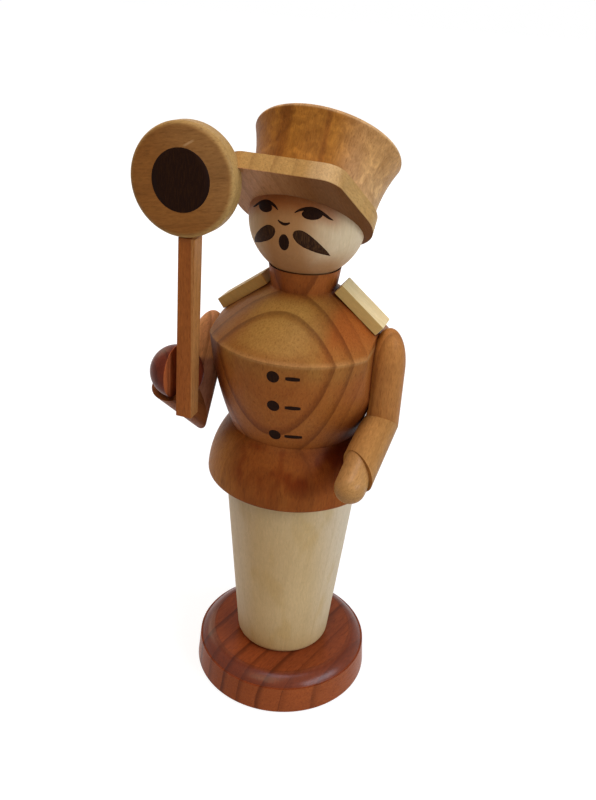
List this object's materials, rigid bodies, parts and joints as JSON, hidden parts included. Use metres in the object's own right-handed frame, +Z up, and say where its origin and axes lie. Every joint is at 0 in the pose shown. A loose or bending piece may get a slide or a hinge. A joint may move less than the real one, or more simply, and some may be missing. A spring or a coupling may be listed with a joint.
{
  "type": "wooden figurine",
  "caption": "Turned wooden figurine of a moustached station guard in coat and peaked cap, glued from turned and dowel pieces, holding up a round signal disc on a staff.",
  "frame": {"origin": "centre of the flat underside of the base, on the turning axis", "axes": "+Z up along the turning axis, -Y the way the coat front faces, +X the figure's left"},
  "size_m": [0.0553, 0.0469, 0.1427],
  "materials": {
    "base_wood": "red-brown turned wood, satin wax",
    "trouser_wood": "pale turned maple, satin wax",
    "coat_wood": "mid-brown turned fruitwood with arched grain, satin wax",
    "head_wood": "pale turned maple with a printed face, satin wax",
    "visor_wood": "light brown sawn wood, satin wax",
    "cap_wood": "mid-brown turned wood, satin wax",
    "epaulette_wood": "pale yellow sawn wood, satin",
    "arm_wood": "brown dowel wood, satin wax",
    "hand_wood": "dark red-brown turned ball, satin wax",
    "staff_wood": "red-brown square stick, satin wax",
    "disc_wood": "light brown turned disc with a painted dark spot, satin wax",
    "dowel_wood": "plain beech dowel, unfinished"
  },
  "bodies": {
    "root": {"base": "base_wood", "trousers": "trouser_wood", "coat": "coat_wood", "neck_dowel": "dowel_wood", "head": "head_wood", "cap_visor": "visor_wood", "cap_crown": "cap_wood", "cap_dowel": "dowel_wood", "epaulette_left": "epaulette_wood", "epaulette_right": "epaulette_wood", "shoulder_dowels": "dowel_wood", "upper_arm_left": "arm_wood", "upper_arm_right": "arm_wood", "elbow_dowels": "dowel_wood", "forearm_left": "arm_wood", "forearm_right": "arm_wood", "hand_left": "arm_wood", "hand_right": "hand_wood", "signal_staff": "staff_wood", "signal_disc": "disc_wood"}
  },
  "joints": []
}
